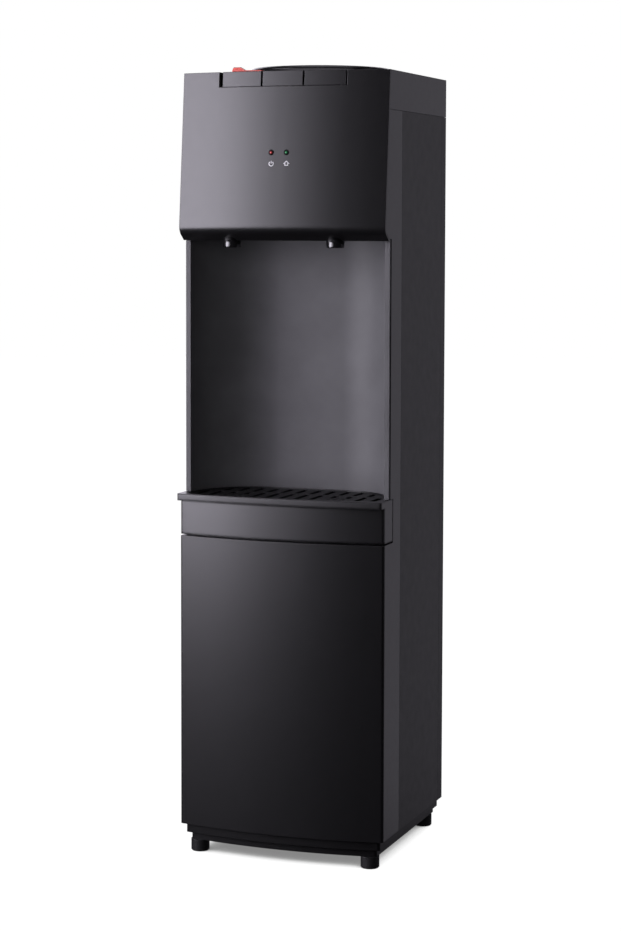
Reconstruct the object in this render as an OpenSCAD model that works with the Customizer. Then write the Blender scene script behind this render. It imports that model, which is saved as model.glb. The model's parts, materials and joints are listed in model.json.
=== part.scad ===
// Floor-standing water dispenser for a bottle that stands neck down in the top.
// X runs to the right, Y to the rear and Z up; the origin is on the floor, under the middle.

/* [Cabinet] */
// Width across the side panels
body_w = 300; // [292:1:320]
// Depth from the front corners to the rear edge
body_d = 272; // [268:1:290]
// How far the middle of the crowned front stands forward of its corners
front_crown = 16; // [10:1:20]
// Radius of the upright front corners
corner_r = 4.5; // [3:0.5:6]
// Thickness of the moulded walls
wall = 2.5; // [2:0.1:3]
// Thickness of the steel sheet
sheet = 0.8; // [0.6:0.1:1.2]
// Depth of the moulded strip along the front of each side
strip_d = 69; // [66:1:78]
// Length of the tongue that laps behind each side panel
tongue_d = 8; // [5:1:10]
// Width of the joint lines between covers
seam = 0.4; // [0.3:0.1:0.6]
// Depth of the rear panel's side returns
rear_return = 20.6; // [16:0.2:26]
// Height of the service window in the rear panel
window_h = 200; // [160:5:240]
// Width of the frame around the service window
window_edge = 18; // [14:1:24]

/* [Heights] */
// Height of the feet below the base
foot_h = 16.5; // [12:0.5:25]
// Height of the lower step of the base
plinth_low_h = 10; // [8:1:14]
// Height of the upper step of the base
plinth_up_h = 13; // [10:1:16]
// Height of the lower front panel
panel_h = 407.5; // [395:0.5:440]
// Height from the lower panel to the top of the tray lip
tray_h = 60; // [55:1:70]
// Free height of the recess above the tray lip
recess_h = 351; // [330:1:380]
// Height of the hood above the recess
hood_h = 230; // [228:1:250]
// Height of the band that the top cover shows on the sides
cap_h = 53; // [48:1:60]

/* [Base] */
// Inset of the upper step of the base
plinth_in = 6.5; // [4:0.5:9]
// Further inset of the lower step of the base
plinth_step = 6; // [4:0.5:8]
// Radius of each foot
foot_r = 12.9; // [10:0.1:14]
// Distance of the feet from the sides
foot_side = 23.7; // [22:0.1:30]
// Distance of the feet from the front corners and from the rear edge
foot_end = 16; // [15.5:0.5:30]
// Radius of the plug that holds a foot in the base
foot_plug_r = 6; // [4:0.5:8]

/* [Recess] */
// Clear width of the recess
recess_w = 285; // [275:1:286]
// Depth of the recess behind the front corners
recess_d = 118; // [116:1:122]
// Radius of the upright corners at the back of the recess
recess_r = 92; // [30:1:94]
// Set-back of the recess frame behind the front corners
frame_set = 20; // [18:0.5:23]
// Width of the shadow groove behind the recess frame
frame_groove = 2.5; // [1.5:0.5:4]

/* [Hood] */
// How far the hood's lower bulge stands forward of the lower panel
hood_proud = 2.5; // [0:0.5:5]
// Lean of the hood front from upright, in degrees
hood_lean = 5; // [2:0.5:6]
// Height of the bulge above the recess
bulge_h = 22; // [18:1:40]
// Radius of the rolled-under lower edge
under_r = 15; // [12:1:28]
// Slope of the underside below the horizontal roll, in degrees
under_deg = 58; // [50:1:65]
// Height of the indicator lights above the bulge
light_h = 98; // [70:1:120]
// Distance of each indicator light from the middle
light_x = 11; // [9:0.5:20]
// Radius of an indicator light
light_r = 2.5; // [2:0.1:3]

/* [Tabs] */
// Width of the opening that holds the three tabs
tabs_w = 186; // [182:1:192]
// Width of the notch left of the first tab
notch_w = 5.5; // [4:0.5:8]
// Gap between two tabs
tab_gap = 2.5; // [1.5:0.1:3]
// Gap right of the last tab
tab_end_gap = 1.5; // [1:0.1:2]
// Height of a tab's front skirt
tab_h = 20.5; // [19:0.5:24]
// Rear edge of the tabs behind the front corners
tab_back = 48; // [46:1:50]
// Free way behind the tabs for their swing
tab_swing = 2.8; // [2.6:0.1:3.4]
// Axle behind the front corners
axle_y = 13; // [12.5:0.1:14]
// Height of the axle above a skirt's lower edge
axle_h = 3.5; // [3.4:0.1:4]
// Radius of the axle
axle_r = 2; // [1.6:0.1:2.2]
// Length of the child lock
lock_w = 43; // [40:1:46]
// Length of the child lock's raised knob
knob_w = 18; // [14:1:22]
// Height of the child lock's knob
knob_h = 5.5; // [4:0.5:7]

/* [Spouts] */
// Distance of each spout from the middle
spout_x = 75.5; // [72:0.5:78]
// Spout axis behind the front corners
spout_y = 8; // [6:0.5:10]
// Outer radius of a spout
spout_r = 10; // [9:0.5:11]
// Bore radius of a spout
spout_bore = 5.5; // [4:0.5:6]
// How far a spout hangs below the hood
spout_drop = 5; // [3:0.5:12]
// Push rods behind the front corners
rod_y = 32; // [31:0.5:34]
// Radius of a push rod
rod_r = 2.5; // [2:0.1:3]
// Radius of a valve body
valve_r = 11; // [9:0.5:12]
// Height of a valve body
valve_h = 50; // [44:1:54]
// Free length of a valve spring
spring_h = 15; // [12:1:18]

/* [Bottle seat] */
// Seat axis behind the front corners
seat_y = 158; // [156:0.5:162]
// Outer radius of the seat flange
seat_r = 105; // [103:0.5:106]
// Height of the seat rim above the top face
rim_h = 11; // [7:0.5:14]
// Radius of the hole under the seat
seat_hole_r = 90; // [86:1:92]
// Inner radius of the neck guide
neck_r = 29; // [28:0.5:31]
// Depth of the neck guide's lower end below the top face
neck_depth = 68; // [64:1:72]
// Length of the neck guide
neck_h = 30; // [24:1:34]
// Radius of the bottle probe
probe_r = 9; // [7:0.5:10]
// Depth of the probe's tip below the top face
probe_below = 8; // [5:1:16]

/* [Drip tray] */
// How far the middle of the tray lip stands out beyond the cabinet
lip_over = 4; // [2:0.5:5]
// How far the ends of the tray lip stand forward of the front corners
lip_ends = 12.5; // [8:0.5:15]
// Height of the tray lip
lip_h = 9.5; // [8:0.5:12]
// Length of the tray's returns along the sides
tray_return = 36; // [28:1:38]
// Gap between the fascia and the lower panel
fascia_gap = 2.4; // [1.5:0.1:3]
// Thickness of the grille
grille_t = 2.5; // [2:0.1:3]
// Drop of the grille below the lip
grille_drop = 1.5; // [1:0.1:2]
// Distance between grille slots
slot_pitch = 21.4; // [18:0.2:24]
// Width of a grille slot
slot_w = 7.5; // [5:0.5:9]
// Radius of each cup target
target_r = 19; // [16:0.5:21]

/* [Water tanks] */
// Radius of the cold tank
cold_r = 72; // [66:1:73]
// Height of the cold tank
cold_h = 145; // [135:1:150]
// Outer radius of the cold tank's insulation
foam_r = 95; // [93:0.5:96]
// Thickness of the insulation around the coil
foam_t = 14; // [12:1:15]
// Distance of the tank shelf above the recess liner
shelf_gap = 12; // [10:0.5:14]
// Radius of the hot tank
hot_r = 42; // [36:1:43]
// Height of the hot tank
hot_h = 205; // [180:5:210]
// Outer radius of the hot tank's jacket
jacket_r = 56; // [54:0.5:57]
// Hot tank axis left of the middle
hot_x = 60; // [58:1:62]
// Hot tank axis behind the front corners
hot_y = 200; // [196:1:204]
// Height of the hot tank bracket above the lower panel's top
hot_rise = 91; // [80:1:100]
// Outer radius of a water tube
tube_r = 4.5; // [4:0.5:5]
// Bore radius of a water tube
tube_bore = 3; // [2:0.5:3.5]

// Rise of the cold coil above the bottom of its tank
coil_rise = 40; // [30:1:45]
// Height that the cold coil covers
coil_h = 75; // [60:1:80]
// Height of the heater band on the hot tank
band_h = 50; // [40:1:60]
// Rise of the heater band above the tank's inlet
band_rise = 12; // [8:1:20]

/* [Cooling] */
// Radius of the compressor shell
comp_r = 58; // [50:1:62]
// Height of the compressor shell
comp_h = 132; // [110:1:150]
// Half the distance between the left and right mounts
mount_x = 56; // [50:1:60]
// Half the distance between the front and rear mounts
mount_y = 50; // [44:1:54]
// Height of the box over the compressor's terminals
term_h = 50; // [40:1:60]
// Half the width of the terminal box
term_half = 18; // [14:1:20]
// Height of the terminal box above the compressor's bottom
term_rise = 40; // [36:1:50]
// Height of the rubber mounts
mount_h = 15; // [12:1:20]
// Distance of the condenser's middle behind the rear panel
cond_off = 14; // [12:0.5:20]
// Radius of the condenser tube
cond_r = 2.5; // [2:0.1:3]
// Distance between condenser passes
cond_pitch = 30; // [26:1:34]
// Number of condenser passes
cond_n = 20; // [14:2:20]
// Half the straight length of a condenser pass
cond_half = 105; // [95:1:106]
// Distance between condenser wires
wire_pitch = 10; // [9:0.5:12]
// Radius of a condenser wire
wire_r = 0.8; // [0.6:0.1:1]

/* [Rear fittings] */
// Distance of the switches from the right side
switch_x = 50; // [48:1:54]
// Depth of the switches below the top face
switch_below = 103; // [96:1:110]
// Half the angle that a rocker swings
rock_deg = 8; // [6:1:10]
// Width of the vent slots near the top of the rear panel
vent_w = 150; // [100:1:170]
// Distance of the vent slots from the switches
vent_gap = 15; // [10:1:30]
// Height of the drain above the window
drain_rise = 28; // [24:1:36]
// Bore radius of the cable gland
gland_bore = 3.6; // [3:0.1:4.5]

/* [Hidden] */
$fn = 64;
clear = 0.3;        // standing clearance between neighbours
run = 0.05;         // radial clearance of a running fit
far = 2 * body_w;   // reach of the trimming blocks

z_base = foot_h;
z_step = z_base + plinth_low_h;
z_panel = z_step + plinth_up_h;
z_shelf = z_panel + panel_h;
z_lip = z_shelf + tray_h;
z_ceil = z_lip + recess_h;
z_bulge = z_ceil + bulge_h;
z_top = z_ceil + hood_h;
z_cap = z_top - cap_h;
half_w = body_w / 2;
in_x = half_w - wall;                       // inner face of the moulded sides
steel_x = half_w - sheet;                   // inner face of the steel sides
y_rear = body_d - sheet;                    // inner face of the rear panel
y_split = body_d - rear_return;             // line between side and rear panels
crown_rad = (pow(half_w, 2) + pow(front_crown, 2)) / (2 * front_crown);
y_crown = crown_rad - front_crown;          // centre of the crown's arc

// tabs
tab_w = (tabs_w - notch_w - 2 * tab_gap - tab_end_gap) / 3;
tab_x = [for (i = [0:2]) notch_w - tabs_w / 2 + i * (tab_w + tab_gap)];
z_tab = z_top - tab_h;
z_axle = z_tab + axle_h;
press_drop = 9.5;                           // carrier below the skirts, clear of the swing
z_carrier = z_tab - press_drop;
ear_r = 5;
ear_t = 2.5;
ear_in = wall + 1;
push_gap = 0.6;
pusher_t = 3;
pusher_h = 8.5;
z_push = z_top - wall - pusher_h;
post_r = 4;
post_x = tabs_w / 2 + 10;
rod_x = [-spout_x, 0, spout_x];

// child lock
lock_y = axle_y - 2;
lock_travel = 8;
lock_x = tab_x[0] + lock_travel + 5;
lock_slot_x = lock_x + 26;

// drip tray
tray_out = 1;                               // play between the bowl and the recess
front_in = 4;                               // set-back of the bowl below the fascia
tray_face = wall + clear;                   // inner face of the fascia
lip_bow = front_crown + lip_over - lip_ends;    // rise of the lip's front edge
lip_rad = (pow(half_w, 2) + pow(lip_bow, 2)) / (2 * lip_bow);
z_tray = z_shelf + clear;
z_grille = z_lip - grille_drop - grille_t;

// valves
bracket_rise = 24.5;                        // top of the valve bracket above the recess
z_valve = z_ceil + bracket_rise + 2;
z_port = z_valve + 8.5;                     // level of the inlets and outlets
z_spring = z_valve + valve_h;
nozzle_r = 6;
barb_r = 3.5;
barb_l = 6;
y_barb = rod_y + valve_r + barb_l;
rod_collar_r = 7;

// bottle seat and cold side
z_foam = z_ceil + wall + shelf_gap + sheet + clear;
z_cold = z_foam + foam_t + 1;
z_lid = z_cold + cold_h + clear;
lid_t = 3;
spigot_r = 4;
spigot_reach = foam_r + 4;
front_reach = foam_r + 0.4;
z_high_spigot = z_cold + cold_h - 34;
lead_r = 3;                                 // radius of the coil and its leads
z_leads = [z_cold + coil_rise, z_cold + coil_rise + coil_h];
lead_x = cold_r + 2 * lead_r + 4 * clear;   // start of the coil's leads

// hot side
z_bracket = z_shelf + hot_rise;
z_jacket = z_bracket + clear;
z_hot = z_jacket + 10 + clear;
z_hot_top = z_hot + hot_h;
z_hot_in = z_hot + 25;
duct_x = half_w - 22;                       // upright run of the tubes beside the tanks
shelf_y0 = strip_d + tongue_d + 2;
shelf_y1 = y_split - 10;
duct_y = shelf_y0 + 48;                     // upright run of the hot water tube
liquid_at = [duct_x - 12, shelf_y1 - 10];   // upright run of the liquid line

// rear
z_window = z_panel + window_edge;
window_x = half_w - window_edge;
z_drain = z_window + window_h + drain_rise;
y_cond = body_d + cond_off;
z_cond = z_drain + 36;
y_back = y_cond + cond_r + 2 * wire_r + 0.1;
z_switch = z_top - switch_below;
switch_in = 25;                             // half width of the switch housing's body
switch_mid = half_w - switch_x;
vent_x = switch_mid - switch_in - vent_gap;
rocker_x = 12;                              // rockers left and right of the housing's middle
gland_x = switch_mid + 10;
gland_r = 7;
outlet_end = body_d + 12;
screw_r = 1.5;
lap_w = 6;                                  // width of the joggle in a side panel

// base and compressor
plate_t = 1.2;
z_plate = z_panel + clear;
z_comp = z_plate + plate_t + mount_h + 2;
comp_y = 172;
foot_x = half_w - foot_side;

// place of the whole object: the origin is under the middle of its box
y_mid = (y_back - front_crown - lip_over) / 2;

// ---------- shared shapes ----------

// puts a sub-part, drawn from the front corner plane, into the object's own frame
module placed() {
    translate([0, -y_mid, 0]) children();
}

// block between two corners
module block(low, high) {
    translate(low) cube(high - low);
}

// upright cylinder at a place
module post(x, y, z0, z1, r) {
    translate([x, y, z0]) cylinder(h = z1 - z0, r = r);
}

// cylinder that runs along Y
module along_y(x, z, y0, y1, r) {
    translate([x, y0, z]) rotate([-90, 0, 0]) cylinder(h = y1 - y0, r = r);
}

// cylinder that runs along X
module along_x(y, z, x0, x1, r) {
    translate([x0, y, z]) rotate([0, 90, 0]) cylinder(h = x1 - x0, r = r);
}

// round bar through a list of points that turns square at each, with a bend of its own there
module bar(points, r, bend) {
    last = len(points) - 1;
    for (i = [0:last - 1]) {
        length = norm(points[i + 1] - points[i]);
        way = (points[i + 1] - points[i]) / length;
        from = i > 0 ? bend : 0;
        to = i < last - 1 ? length - bend : length;
        translate(points[i] + from * way)
            rotate([0, acos(way[2]), atan2(way[1], way[0])]) cylinder(h = to - from, r = r, $fn = 24);
    }
    for (i = [1:1:last - 1]) {
        u = (points[i] - points[i - 1]) / norm(points[i] - points[i - 1]);
        v = (points[i + 1] - points[i]) / norm(points[i + 1] - points[i]);
        w = cross(u, v);
        c = points[i] + bend * (v - u);
        multmatrix([[-v[0], u[0], w[0], c[0]], [-v[1], u[1], w[1], c[1]], [-v[2], u[2], w[2], c[2]]])
            rotate_extrude(angle = 90) translate([bend, 0]) circle(r = r, $fn = 24);
    }
}

// tube through a list of points
module tube(points, r, bore, bend) {
    difference() {
        bar(points, r, bend);
        bar(points, bore, bend);
    }
}

// plan with a front of radius arc_r about arc_y, back to y1, with corners of radius r
module bow_plan(half, arc_r, arc_y, y1, r) {
    steps = 6;
    xc = half - r;
    yc = arc_y - sqrt(pow(arc_r - r, 2) - pow(xc, 2));
    meet = asin(xc / (arc_r - r));
    step = (90 - meet) / (steps - 0.5);
    corner = [for (i = [0:steps - 1])
        let (turn = meet + (i + 0.5) * step)
        [xc + r * sin(turn), yc - r * cos(turn)]];
    other = [for (i = [steps - 1:-1:0]) [-corner[i][0], corner[i][1]]];
    peak = [0, corner[0][1] - corner[0][0] * tan(meet + step / 4)];
    intersection() {
        translate([0, arc_y]) circle(r = arc_r, $fn = 720);
        polygon(concat(corner, [[half, y1], [-half, y1]], other, [peak]));
    }
}

// plan of the crowned front, moved inwards by inset, back to y1, with corners of radius r
module crown_plan(inset, y1, r) {
    bow_plan(half_w - inset, crown_rad - inset, y_crown, y1, r);
}

// crowned slab between two heights, with the cabinet's corners moved in or out by inset
module crown_slab(inset, z0, z1, y1) {
    translate([0, 0, z0]) linear_extrude(z1 - z0)
        crown_plan(inset, y1, max(corner_r - inset, 1));
}

// plan of the recess, grown by g, from y0 to its rounded back
module recess_plan(g, y0) {
    half = recess_w / 2 + g;
    r = recess_r + g;
    yc = recess_d - recess_r;
    intersection() {
        union() {
            translate([-half, y0]) square([2 * half, yc - y0]);
            translate([r - half, y0]) square([2 * (half - r), recess_d + g - y0]);
            for (side = [-1, 1]) translate([side * (half - r), yc]) circle(r = r, $fn = 128);
        }
        translate([-half - 1, y0]) square([2 * half + 2, recess_d + g + 1 - y0]);
    }
}

// profile of the hood about the crown's axis: distance out and height from the bulge
module hood_profile(inset) {
    reach = body_d + 60;
    drop = bulge_h + 30;
    steps = 20;
    arc_x = crown_rad - under_r;
    r = under_r - inset;
    touch = [arc_x + r * cos(under_deg), -r * sin(under_deg)];
    run_in = (drop + touch[1]) * tan(under_deg);
    roll = [for (i = [0:steps])
        let (turn = -under_deg * (1 - i / steps))
        [arc_x + r * cos(turn), r * sin(turn)]];
    polygon(concat(
        [[crown_rad - reach, -drop], [touch[0] - run_in, -drop]],
        roll,
        [[crown_rad - inset, hood_h + 60], [crown_rad - reach, hood_h + 60]]
    ));
}

// moves into the leaning frame of the hood: X across, Y inwards, Z up the front
module on_hood() {
    translate([0, -hood_proud - front_crown, z_bulge]) rotate([-hood_lean, 0, 0]) children();
}

// solid form of the hood with its front, roll and underside moved inwards by inset
module hood_body(inset) {
    intersection() {
        on_hood() translate([0, crown_rad, 0])
            rotate_extrude($fn = 360) hood_profile(inset);
        block([-far, -far, z_ceil + inset], [far, far, z_top]);
    }
}

// ---------- cabinet ----------

// crowned slab of the base with its own corners
module plinth_slab(inset, z0, z1, y1) {
    translate([0, 0, z0]) linear_extrude(z1 - z0) crown_plan(inset, y1, corner_r);
}

module foot_places() {
    for (side = [-1, 1]) for (y = [foot_end, body_d - foot_end])
        translate([side * foot_x, y, 0]) children();
}

module base_plinth() {
    deep = plinth_in + plinth_step;
    color([0.05, 0.05, 0.055]) placed() difference() {
        union() {
            plinth_slab(plinth_in, z_step, z_panel, body_d - 2);
            plinth_slab(deep, z_base, z_step + 1, body_d - 2);
        }
        difference() {
            plinth_slab(deep + wall, z_base + wall, z_panel + 1, body_d - 2 - wall);
            foot_places() post(0, 0, z_base, z_panel, foot_plug_r + 1.4 * wall);
        }
        foot_places() post(0, 0, z_base - 1, z_panel - wall, foot_plug_r + clear);
    }
}

module levelling_feet() {
    color([0.06, 0.06, 0.065]) placed() foot_places() {
        post(0, 0, 0, 1.5, foot_r - 1.5);
        post(0, 0, 1.5, z_base, foot_r);
        post(0, 0, z_base, z_panel - wall - 1, foot_plug_r);
    }
}

module base_plate() {
    color([0.55, 0.56, 0.58]) placed() difference() {
        crown_slab(wall + clear, z_plate, z_plate + plate_t, y_rear - clear);
        comp_feet() post(0, 0, z_plate - 1, z_plate + 3, 3);
    }
}

// side wall of the front housing in one range of height
module side_walls(z0, z1, y0, y1) {
    for (side = [-1, 1]) mirror([side < 0 ? 1 : 0, 0, 0])
        block([in_x, y0, z0], [half_w, y1, z1]);
}

module front_housing() {
    y_frame_side = frame_set + wall + frame_groove;
    color([0.045, 0.045, 0.05]) placed() {
        difference() {
            crown_slab(0, z_panel, z_shelf, strip_d);
            difference() {
                crown_slab(wall, z_panel - 1, z_shelf - wall, strip_d + 1);
                block([-far, strip_d - wall, z_shelf - 2 * wall - 12],
                    [far, strip_d + 2, z_shelf]);
            }
        }
        block([-in_x, strip_d - 1, z_shelf - wall], [in_x, recess_d, z_shelf]);
        side_walls(z_shelf - 1, z_lip + clear, tray_return + 1, strip_d);
        side_walls(z_lip + clear, z_ceil + 2 * wall, y_frame_side, strip_d);
        intersection() {
            hood_body(wall + seam);
            side_walls(z_ceil - 1, z_cap - clear, -far, strip_d);
        }
        for (side = [-1, 1]) mirror([side < 0 ? 1 : 0, 0, 0])
            block([in_x - 1, strip_d - 6, z_panel + 3],
                [steel_x - clear, strip_d + tongue_d, z_cap - clear]);
    }
}

module recess_liner() {
    z_foot = z_shelf + clear;
    color([0.05, 0.05, 0.055]) placed() difference() {
        union() {
            translate([0, 0, z_foot]) linear_extrude(z_ceil + wall - z_foot)
                recess_plan(wall, frame_set);
            block([-half_w + 0.5, frame_set, z_lip + 0.5], [half_w - 0.5, frame_set + wall, z_ceil - clear]);
        }
        translate([0, 0, z_foot - 1]) linear_extrude(z_ceil - z_foot + 1)
            recess_plan(0, frame_set - 1);
    }
}

module hood_cover() {
    opening = tabs_w / 2;
    color([0.045, 0.045, 0.05]) placed() difference() {
        union() {
            intersection() {
                difference() {
                    hood_body(0);
                    hood_body(wall);
                }
                union() {
                    block([-half_w, -far, z_bulge], [half_w, strip_d, z_top]);
                    block([-half_w, -far, z_ceil - 1], [half_w, frame_set - seam, z_bulge + 1]);
                }
            }
            on_hood() for (side = [-1, 1]) {
                along_y(side * 24, light_h, wall - 0.5, wall + 6, 2.5);
                along_y(side * light_x, light_h, -0.4, wall, light_r + 1.1);
            }
        }
        block([-opening, -far, z_tab - seam], [opening, far, z_top + 1]);
        on_hood() for (side = [-1, 1])
            along_y(side * light_x, light_h, -5, wall + 1, light_r + 0.1);
        for (x = [-spout_x, spout_x])
            post(x, spout_y, z_ceil - 1, z_ceil + 40, spout_r + 0.5);
    }
}

module top_cover() {
    color([0.045, 0.045, 0.05]) placed() {
        difference() {
            intersection() {
                hood_body(wall + seam);
                block([-half_w, -far, z_cap], [half_w, body_d, z_top]);
            }
            block([-in_x, -far, z_cap - 1], [in_x, body_d - wall, z_top - wall]);
            block([-tabs_w / 2, -far, z_tab - 5], [tabs_w / 2, tab_back + tab_swing, z_top + 1]);
            post(0, seat_y, z_cap, z_top + 1, seat_hole_r);
        }
        for (side = [-1, 1])
            post(side * post_x, rod_y, z_carrier, z_top - wall, post_r);
    }
}

// steel side with a joggled lap and a screw flange behind the rear panel
module side_panel() {
    lap_x = steel_x - clear;
    lap_y = y_rear - clear;
    z0 = z_panel + 3;
    z1 = z_cap - seam - 3;
    difference() {
        union() {
            block([steel_x, strip_d + seam, z_panel], [half_w, y_split - seam, z_cap - seam]);
            block([lap_x - sheet, y_split - lap_w, z0], [half_w - seam, y_split - seam, z1]);
            block([lap_x - sheet, y_split - lap_w, z0], [lap_x, lap_y, z1]);
            block([lap_x - 12, lap_y - sheet, z0], [lap_x, lap_y, z1]);
        }
        screw_places() along_y(0, 0, lap_y - 2, lap_y + 1, screw_r + 0.2);
    }
}

module side_panel_right() {
    color([0.07, 0.07, 0.075]) placed() side_panel();
}

module side_panel_left() {
    color([0.07, 0.07, 0.075]) placed() mirror([1, 0, 0]) side_panel();
}

module screw_places() {
    rows = 4;
    for (side = [-1, 1]) for (i = [0:rows - 1])
        translate([side * (half_w - 9), 0, z_drain + i * (z_cap - 40 - z_drain) / (rows - 1)])
            children();
}

module rear_panel() {
    z1 = z_cap - seam;
    color([0.1, 0.1, 0.105]) placed() difference() {
        union() {
            block([-half_w, y_rear, z_panel], [half_w, body_d, z1]);
            for (side = [-1, 1]) mirror([side < 0 ? 1 : 0, 0, 0])
                block([steel_x, y_split, z_panel], [half_w, body_d, z1]);
        }
        block([-window_x, y_rear - 1, z_window], [window_x, body_d + 1, z_window + window_h]);
        for (i = [0:6])
            block([vent_x - vent_w, y_rear - 1, z1 - 20 - 6 * i], [vent_x, body_d + 1, z1 - 17 - 6 * i]);
        screw_places() along_y(0, 0, y_rear - 1, body_d + 1, screw_r + 0.2);
        along_y(-hot_x, z_drain, y_rear - 1, body_d + 1, tube_r + 1);
        along_y(gland_x, z_drain, y_rear - 1, body_d + 1, gland_r + 0.1);
        block([switch_mid - switch_in, y_rear - 1, z_switch - 11.5],
            [switch_mid + switch_in, body_d + 1, z_switch + 11.5]);
    }
}

module panel_screws() {
    color([0.5, 0.5, 0.52]) placed() screw_places() {
        along_y(0, 0, body_d - 7, body_d, screw_r);
        along_y(0, 0, body_d, body_d + 2, 2 * screw_r);
    }
}

// ---------- bottle seat ----------

module bottle_seat() {
    rim_r = 5;
    z_rim = z_top + rim_h - rim_r;
    rim_x = seat_r - rim_r - 4;
    z_skirt = z_top + clear;
    z_neck = z_top - neck_depth;
    z_cone = z_neck + neck_h;
    color([0.02, 0.02, 0.022]) placed() translate([0, seat_y, 0]) rotate_extrude($fn = 160) {
        intersection() {
            translate([rim_x, z_rim]) circle(r = rim_r, $fn = 48);
            translate([0, z_skirt]) square([seat_r, far]);
        }
        polygon([
            [seat_r, z_skirt],
            [seat_r, z_skirt + 1.2],
            [rim_x + rim_r - 0.5, z_rim + 1],
            [rim_x, z_rim + rim_r - 0.2],
            [rim_x - rim_r + 1.2, z_rim + 2.5],
            [neck_r, z_cone],
            [neck_r, z_neck],
            [neck_r - 6, z_neck],
            [neck_r - 6, z_neck - 2],
            [neck_r + wall, z_neck - 2],
            [neck_r + wall, z_cone - 1],
            [seat_hole_r - 3, z_skirt]
        ]);
    }
}

module bottle_probe() {
    z0 = z_top - neck_depth;
    tip = z_top - probe_below;
    shaft = tip - probe_r;
    color([0.85, 0.87, 0.88]) placed() translate([0, seat_y, 0]) difference() {
        union() {
            post(0, 0, z0, z0 + wall, neck_r - clear);
            post(0, 0, z0, shaft, probe_r);
            translate([0, 0, shaft]) sphere(r = probe_r);
        }
        post(0, 0, z0 - 1, shaft - 2, probe_r - 2.5);
        for (turn = [0, 90]) rotate([0, 0, turn])
            block([-2.5, -far, shaft - 11], [2.5, far, shaft - 3]);
        for (turn = [0:60:300]) rotate([0, 0, turn])
            post((neck_r + probe_r) / 2, 0, z0 - 1, z0 + wall + 1, 4);
    }
}

// ---------- tabs and valves ----------

// hollow press tab number i, with its pusher over the push rod
module tab(i) {
    x0 = tab_x[i];
    x1 = x0 + tab_w;
    difference() {
        union() {
            difference() {
                intersection() {
                    hood_body(0);
                    block([x0, -far, z_tab], [x1, tab_back, z_top]);
                }
                intersection() {
                    hood_body(wall);
                    block([x0 + wall, -far, z_tab - 1], [x1 - wall, tab_back - wall, z_top - wall]);
                }
            }
            block([rod_x[i] - 4, rod_y - pusher_t / 2, z_push],
                [rod_x[i] + 4, rod_y + pusher_t / 2, z_top - wall]);
        }
        along_x(axle_y, z_axle, x0 - 1, x1 + 1, axle_r + run);
    }
}

module tab_hot() {
    color([0.045, 0.045, 0.05]) placed() difference() {
        tab(0);
        block([lock_slot_x - 3 - lock_travel, lock_y - 2.4, z_top - wall - 1],
            [lock_slot_x + 3, lock_y + 2.4, z_top + 1]);
    }
}

module tab_ambient() {
    color([0.045, 0.045, 0.05]) placed() tab(1);
}

module tab_cold() {
    color([0.045, 0.045, 0.05]) placed() tab(2);
}

module tab_axle() {
    color([0.75, 0.75, 0.77]) placed()
        along_x(axle_y, z_axle, tab_x[0] + 0.5, tab_x[2] + tab_w - 0.5, axle_r);
}

module tab_carrier() {
    reach = post_x + 8;
    color([0.3, 0.3, 0.32]) placed() difference() {
        union() {
            block([-reach, axle_y - ear_r + 2, z_carrier - wall], [reach, tab_back + 10, z_carrier]);
            for (i = [0:2]) for (x = [tab_x[i] + ear_in, tab_x[i] + tab_w - ear_in - ear_t]) {
                block([x, axle_y - ear_r, z_carrier - wall], [x + ear_t, axle_y + ear_r, z_axle]);
                along_x(axle_y, z_axle, x, x + ear_t, ear_r);
            }
        }
        along_x(axle_y, z_axle, -far, far, axle_r + run);
        for (x = rod_x) post(x, rod_y, z_carrier - far, z_carrier + far, rod_r + clear);
    }
}

module child_lock() {
    z0 = z_top + clear;
    color([0.75, 0.09, 0.07]) placed() {
        block([lock_x, lock_y - 5, z0], [lock_x + lock_w, lock_y + 5, z0 + 1.6]);
        hull() {
            block([lock_x, lock_y - 5, z0 + 1], [lock_x + knob_w, lock_y + 5, z0 + 1.6]);
            block([lock_x + 1.5, lock_y - 4, z0 + knob_h - 1],
                [lock_x + knob_w - 6.5, lock_y + 4, z0 + knob_h]);
        }
        block([lock_slot_x - 2.5, lock_y - 2, z0 - clear - wall - 1], [lock_slot_x + 2.5, lock_y + 2, z0 + 1]);
        block([lock_slot_x - 2.5, lock_y - 4, z_top - wall - clear - 1.5],
            [lock_slot_x + 2.5, lock_y + 4, z_top - wall - clear]);
    }
}

// push rod at x: head under the tab, collar on its spring, stem in the valve
module push_rod(x) {
    z_head = z_push - push_gap;
    post(x, rod_y, z_valve + 14, z_head, rod_r);
    post(x, rod_y, z_head - 2, z_head, rod_r + 1);
    post(x, rod_y, z_spring + spring_h + clear, z_spring + spring_h + 2, rod_collar_r);
}

module push_rod_hot() {
    color([0.9, 0.9, 0.88]) placed() push_rod(rod_x[0]);
}

module push_rod_ambient() {
    color([0.9, 0.9, 0.88]) placed() push_rod(rod_x[1]);
}

module push_rod_cold() {
    color([0.9, 0.9, 0.88]) placed() push_rod(rod_x[2]);
}

// round wire wound about Z: mean radius, height, turns, wire radius, sides and steps a turn
module coil(radius, height, turns, wire, sides, steps) {
    count = turns * steps;
    ring = [for (k = [0:count]) for (s = [0:sides - 1])
        let (turn = 360 * k / steps,
            out = radius + wire * cos(360 * s / sides),
            up = height * k / count + wire * sin(360 * s / sides))
        [out * cos(turn), out * sin(turn), up]];
    walls = [for (k = [0:count - 1]) for (s = [0:sides - 1])
        let (n = (s + 1) % sides)
        [k * sides + s, k * sides + n, (k + 1) * sides + n, (k + 1) * sides + s]];
    ends = [[for (s = [0:sides - 1]) sides - 1 - s],
        [for (s = [0:sides - 1]) count * sides + s]];
    polyhedron(points = ring, faces = concat(walls, ends), convexity = 10);
}

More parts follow.
